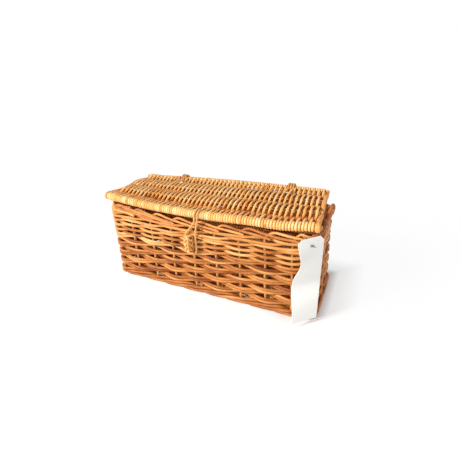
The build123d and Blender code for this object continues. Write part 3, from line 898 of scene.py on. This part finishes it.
# Clasp: plaited knot and the loop that drops over it
low, high = (np.array(corner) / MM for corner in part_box("clasp_knot"))
KNOT = Vector(((low[0] + high[0]) / 2, low[1] + KNOT_DIAMETER / 2, (low[2] + high[2]) / 2))
KNOT_TURNS, KNOT_STRANDS = 1.15, 3
KNOT_WIDE, KNOT_DEEP, KNOT_OUT = 3.9, 2.6, 0.6  # way of a strand aside, in and out, and forward
rods = Rods()
for strand in range(KNOT_STRANDS):
    t = np.linspace(0, 1, 90)
    phase = 2 * math.pi * (KNOT_TURNS * t + strand / KNOT_STRANDS)
    slim = 0.45 + 0.55 * np.sin(math.pi * np.clip(0.06 + 0.9 * t, 0, 1)) ** 0.6
    x = KNOT.x + KNOT_WIDE * slim * np.sin(phase)
    y = KNOT.y + KNOT_DEEP * slim * np.sin(2 * phase) - KNOT_OUT
    line = np.column_stack([x, y, KNOT.z + (t - 0.5) * (KNOT_HEIGHT - 3.0)])
    rods.add(line, KNOT_STRAND * (0.7 + 0.3 * slim), KNOT_TONE + rng.normal(0, 0.08))
neck = np.column_stack(
    [np.full(8, KNOT.x), np.linspace(KNOT.y, -HALF_DEPTH - STAKE / 2, 8), np.full(8, KNOT.z)]
)
rods.add(neck, NECK, NECK_TONE, across=(0, 0, 1))
rods.piece("plaited_knot", CANEWOOD, "basket", "cane", ["clasp_knot"])

LOOP_APART = 2.7  # half the room between the loop's strands over the wound edge
LOOP_SLANT = 0.6  # how far left each step takes them
LOOP_TURN = ((72, 1.6), (90, 0), (115, 0), (145, 0), (180, 0))  # angle, and how far it is tucked in
hang = -(HALF_DEPTH + SKIN + 2 * CLEAR + CANE / 2)
loop_reach = RIM_REACH + 1.7 + CANE / 2
top, bottom = KNOT.z + KNOT_HEIGHT / 2, KNOT.z - KNOT_HEIGHT / 2
over = []
for angle, tucked in LOOP_TURN:
    turn, reach = math.radians(angle), loop_reach - tucked
    over.append((-FRONT_Y + reach * math.cos(turn), FRONT_Z + reach * math.sin(turn)))
over.append((hang, LID_BOTTOM - CANE))
over = [(LOOP_SLANT * step, y, z - front_sag(LOOP_X)) for step, (y, z) in enumerate(over)]
points = [(LOOP_X + LOOP_APART - aside, y, z) for aside, y, z in over]
# Down the knot's right side, below it and up its left side
under = [(11.5, top), (10.8, bottom + 2), (5.5, bottom - 4.4)]
under += [(-4.5, bottom - 4.2), (-8.4, bottom + 6), (-7.6, top - 4)]
points += [(KNOT.x + x, hang, z) for x, z in under]
points += [(LOOP_X - LOOP_APART - aside, y, z) for aside, y, z in reversed(over)]
rods = Rods()
rods.add(curve_through(points, 1.2), CANE / 2, LOOP_TONE)
rods.piece("cane_loop", CANEWOOD, "loop", "cane", ["clasp_loop"])


# Swing tag
def card_material():
    """White card with a faint fibre."""
    material, surface, add, link = shader("card")
    place = add("ShaderNodeTexCoord")
    fibre = add(
        "ShaderNodeTexNoise",
        {"Vector": place.outputs["Object"], "Scale": 900.0, "Detail": 3.0, "Roughness": 0.6},
    )
    stops = {0.3: (240, 238, 232), 0.7: (252, 251, 247)}
    link(coloured(add, fibre.outputs["Fac"], stops), "Base Color")
    relief = add(
        "ShaderNodeBump", {"Height": fibre.outputs["Fac"], "Strength": 0.15, "Distance": 0.0002}
    )
    link(relief.outputs["Normal"], "Normal")
    surface.inputs["Roughness"].default_value = 0.7
    return material


TAG_ROOM = 7.0  # from the weave's corner
TAG_COLUMNS, TAG_ROWS, HOLE_ROW = 12, 40, 3
HOLE_DOWN = HOLE_ROW * TAG_HEIGHT / TAG_ROWS
TAG_TWISTS = ((15, 0.22, 0.16), (-11, 0.6, 0.2))  # degrees, with middle and width down the card
LEFT_CLIP, LEFT_CLIP_SLOPE, RIGHT_CLIP = 4.0, 1.6, 6.0  # of the upper corners
corner_place, corner_out = (v[0] for v in plan(np.array([station(FRONT_STAKES)])))
tag_along = np.array([-corner_out[1], corner_out[0]])
eyelet_xy = corner_place + corner_out * (SKIN + TAG_ROOM) + tag_along * TAG_ASIDE
EYELET_AT = Vector((*eyelet_xy, LID_BOTTOM - 1.0 - EYELET_DROP))


def tag_point(across, down, out):
    """A point of the card, in metres; the card is twisted about its right edge as it hangs."""
    drop = down / TAG_HEIGHT
    twist = math.radians(
        sum(size * math.exp(-(((drop - at) / wide) ** 2)) for size, at, wide in TAG_TWISTS)
    )
    from_edge = TAG_WIDTH / 2 - across
    along = TAG_WIDTH / 2 - from_edge * math.cos(twist)
    out += from_edge * math.sin(twist)
    flat = eyelet_xy + tag_along * along + corner_out * out
    return (flat[0] * MM, flat[1] * MM, (EYELET_AT.z + HOLE_DOWN - down) * MM)


def swing_tag():
    """Card with clipped upper corners and a hole for its string."""
    points, faces = [], []
    width = TAG_COLUMNS + 1
    middle = TAG_COLUMNS // 2
    for face in (1, -1):
        for row in range(TAG_ROWS + 1):
            down = TAG_HEIGHT * row / TAG_ROWS
            left = TAG_WIDTH / 2 - LEFT_CLIP_SLOPE * max(0.0, LEFT_CLIP - down)
            right = TAG_WIDTH / 2 - max(0.0, RIGHT_CLIP - down)
            for column in range(width):
                share = column / middle - 1
                across = share * (left if share < 0 else right)
                points.append(tag_point(across, down, face * TAG_THICKNESS / 2))
    layer = (TAG_ROWS + 1) * width
    hole = HOLE_ROW * width + middle
    for row in range(TAG_ROWS):
        for column in range(TAG_COLUMNS):
            a = row * width + column
            quad = (a, a + width, a + width + 1, a + 1)
            if hole not in quad:
                faces.append(quad)
                faces.append(tuple(i + layer for i in reversed(quad)))
    edge = list(range(width))
    edge += [row * width + TAG_COLUMNS for row in range(1, TAG_ROWS + 1)]
    edge += [TAG_ROWS * width + column for column in range(TAG_COLUMNS - 1, -1, -1)]
    edge += [row * width for row in range(TAG_ROWS - 1, 0, -1)]
    for a, b in zip(edge, edge[1:] + edge[:1]):
        faces.append((a, b, b + layer, a + layer))
    # Round hole in the square left open for it
    square = [hole - width - 1, hole - width, hole - width + 1, hole + 1]
    square += [hole + width + 1, hole + width, hole + width - 1, hole - 1]
    first = len(points)
    for face in (1, -1):
        for step in range(8):
            turn = math.radians(135 - 45 * step)
            down = HOLE_DOWN - EYELET * math.sin(turn)
            points.append(tag_point(EYELET * math.cos(turn), down, face * TAG_THICKNESS / 2))
    for step in range(8):
        a, b = square[step], square[(step + 1) % 8]
        c, d = first + (step + 1) % 8, first + step
        faces.append((d, c, b, a))
        faces.append((a + layer, b + layer, c + 8, d + 8))
        faces.append((c, d, d + 8, c + 8))
    mesh = bpy.data.meshes.new("swing_tag_card")
    mesh.from_pydata(points, [], faces)
    build = bmesh.new()
    build.from_mesh(mesh)
    bmesh.ops.delete(build, geom=[v for v in build.verts if not v.link_faces], context="VERTS")
    bmesh.ops.recalc_face_normals(build, faces=build.faces)
    build.to_mesh(mesh)
    build.free()
    card = card_material()
    place_piece("swing_tag_card", mesh, card, "tag", ["swing_tag"], CARD_CREASE)


swing_tag()


def twine_material():
    """Twisted twine, with slanting bands."""
    material, surface, add, link = shader("twine")
    grain = add("ShaderNodeAttribute", attribute_name="grain")
    twist = add(
        "ShaderNodeTexWave",
        {"Vector": grain.outputs["Vector"], "Scale": 260.0, "Distortion": 2.0},
        bands_direction="DIAGONAL",
    )
    stops = {0.0: (112, 92, 66), 1.0: (190, 172, 140)}
    link(coloured(add, twist.outputs["Fac"], stops), "Base Color")
    surface.inputs["Roughness"].default_value = 0.85
    return material


# Its string, from the corner of the border to the hole
tie = (station(FRONT_STAKES - 1) + station(FRONT_STAKES)) / 2
middle, middle_out = (v[0] for v in plan(np.array([tie])))
start = Vector((*(middle + middle_out * 2.0), BORDER_TOP - 1.5 * BORDER_DOWN))
rods = Rods()
out3 = Vector((*corner_out, 0))
hole_at = Vector(tag_point(0.0, HOLE_DOWN, 0.0)) / MM
points = [
    start + Vector((0, 0, 1.5)),
    start.lerp(hole_at, 0.35) + Vector((0, 0, 1.4)),
    start.lerp(hole_at, 0.75) + Vector((0, 0, 0.7)),
    EYELET_AT + out3 * 1.8,
]
rods.add(curve_through(points, 0.8), TWINE, 0.5)
twine = twine_material()
rods.piece("tag_twine", twine, "basket", "string", ["tag_string"])

# Small knot in front of the hole, which swings with the card
rods = Rods()
points = [hole_at, hole_at + out3 + Vector((0, 0, -0.4))]
along3 = Vector((*tag_along, 0))
for turn in np.radians(np.arange(-60, 361, 60)):
    aside, up = 2.0 * math.cos(turn), 1.4 * math.sin(turn)
    points.append(hole_at + out3 * 1.3 + along3 * aside + Vector((0, 0, up)))
# Its loose end lies down across the card
points.append(hole_at + out3 * 1.6 + along3 * 3.4 + Vector((0, 0, -1.2)))
points.append(hole_at + out3 * 1.2 + along3 * 5.0 + Vector((0, 0, -3.4)))
rods.add(curve_through(points, 0.8), TWINE, 0.5)
rods.piece("tag_knot", twine, "tag", "string", [])

# Floor and light
scene = bpy.context.scene
scene.view_settings.view_transform = "Standard"
SHADOW_FROM, SHADOW_TO = -0.02, 0.5  # metres past the basket's sides
SHADOW_STEPS = ((0.04, 1.0), (0.07, 0.36), (0.15, 0.06))  # share of that way, share of the shadow


def seen_rays(tree):
    """1 for rays from the camera, and for those by way of reflections and glass."""
    path = tree.nodes.new("ShaderNodeLightPath")
    ray = path.outputs["Is Camera Ray"]
    for other in ("Is Glossy Ray", "Is Transmission Ray"):
        either = tree.nodes.new("ShaderNodeMath")
        either.operation = "MAXIMUM"
        tree.links.new(ray, either.inputs[0])
        tree.links.new(path.outputs[other], either.inputs[1])
        ray = either.outputs[0]
    return ray


def floor():
    """A plain pale floor that keeps the basket's shadow."""
    mesh = bpy.data.meshes.new("floor")
    size = 6.0
    square = [(-size, -size, 0), (size, -size, 0), (size, size, 0), (-size, size, 0)]
    mesh.from_pydata(square, [], [(0, 1, 2, 3)])
    material, surface, add, link = shader("floor")
    surface.inputs["Base Color"].default_value = (0.8, 0.8, 0.8, 1)
    surface.inputs["Roughness"].default_value = 0.9
    surface.inputs["Specular IOR Level"].default_value = 0.1
    # The camera and reflections see a white floor, with the shadow left in it near the basket
    glow = add("ShaderNodeEmission", {"Color": (1, 1, 1, 1)})
    white = add("ShaderNodeBsdfDiffuse", {"Color": (1, 1, 1, 1)})
    place = add("ShaderNodeNewGeometry")
    parts = add("ShaderNodeSeparateXYZ", {0: place.outputs["Position"]})
    beyond = []
    for axis, half in (("X", LENGTH / 2), ("Y", DEPTH / 2)):
        far = calc(add, "ABSOLUTE", parts.outputs[axis])
        beyond.append(calc(add, "SUBTRACT", far, half * MM))
    away = calc(add, "MAXIMUM", *beyond)
    near = add(
        "ShaderNodeMapRange", {"Value": away, "From Min": SHADOW_FROM, "From Max": SHADOW_TO}
    )
    share = add("ShaderNodeValToRGB", {"Fac": near.outputs["Result"]})
    tree = material.node_tree
    steps = share.color_ramp.elements
    steps[0].color, steps[1].color = (1, 1, 1, 1), (0, 0, 0, 1)
    for place, shadow in SHADOW_STEPS:
        steps.new(place).color = (shadow, shadow, shadow, 1)
    mix = "ShaderNodeMixShader"
    both = add(mix, {0: share.outputs["Color"], 1: glow.outputs[0], 2: white.outputs[0]})
    pick = add(mix, {0: seen_rays(tree), 1: surface.outputs[0], 2: both.outputs[0]})
    tree.links.new(pick.outputs[0], tree.nodes["Material Output"].inputs["Surface"])
    mesh.materials.append(material)
    plane = linked("floor", mesh)


floor()

# White to the camera and in reflections, and a dim light on the object
WORLD_LIGHT = 0.24
world = bpy.data.worlds.new("studio")
scene.world = world
world.use_nodes = True
nodes, links = world.node_tree.nodes, world.node_tree.links
background = nodes["Background"]
background.inputs["Color"].default_value = (1, 1, 1, 1)
seen = nodes.new("ShaderNodeMapRange")
seen.inputs["To Min"].default_value = WORLD_LIGHT
links.new(seen_rays(world.node_tree), seen.inputs["Value"])
links.new(seen.outputs["Result"], background.inputs["Strength"])


def lamp(name, place, size, power):
    """A square soft light that faces the basket."""
    data = bpy.data.lights.new(name, "AREA")
    data.size = size
    data.energy = power
    lamp_object = linked(name, data)
    aim = Vector(LAMP_TARGET) - Vector(place)
    lamp_object.location = place
    lamp_object.rotation_euler = aim.to_track_quat("-Z", "Y").to_euler()


LAMP_TARGET = (0, 0, 0.08)
lamp("key", (-1.6, -2.0, 1.65), 0.65, 116.0)
lamp("fill", (1.5, -0.75, 0.7), 0.6, 9.5)

# Camera, fitted to the photograph in lid lengths
camera_data = bpy.data.cameras.new("camera")
camera = linked("camera", camera_data)
scene.camera = camera
YAW, PITCH, ROLL = math.radians(-26.19), math.radians(25.62), math.radians(-2.49)
UNIT = 0.36  # a lid length, in metres
TARGET = Vector((0.066, 0, 0.258)) * UNIT
DISTANCE = 1.466 * UNIT
FOCAL_PIXELS, FRAME_PIXELS, SENSOR = 307.9, 460, 36.0
forward = Vector(
    (math.sin(YAW) * math.cos(PITCH), math.cos(YAW) * math.cos(PITCH), -math.sin(PITCH))
)
level = Vector((math.cos(YAW), -math.sin(YAW), 0))
upward = level.cross(forward)
right = level * math.cos(ROLL) + upward * math.sin(ROLL)
up = upward * math.cos(ROLL) - level * math.sin(ROLL)
pose = Matrix((right, up, -forward)).transposed().to_4x4()
pose.translation = TARGET - forward * DISTANCE
camera.matrix_world = pose
camera_data.sensor_width = SENSOR
camera_data.lens = FOCAL_PIXELS / FRAME_PIXELS * SENSOR
camera_data.clip_start = 0.01
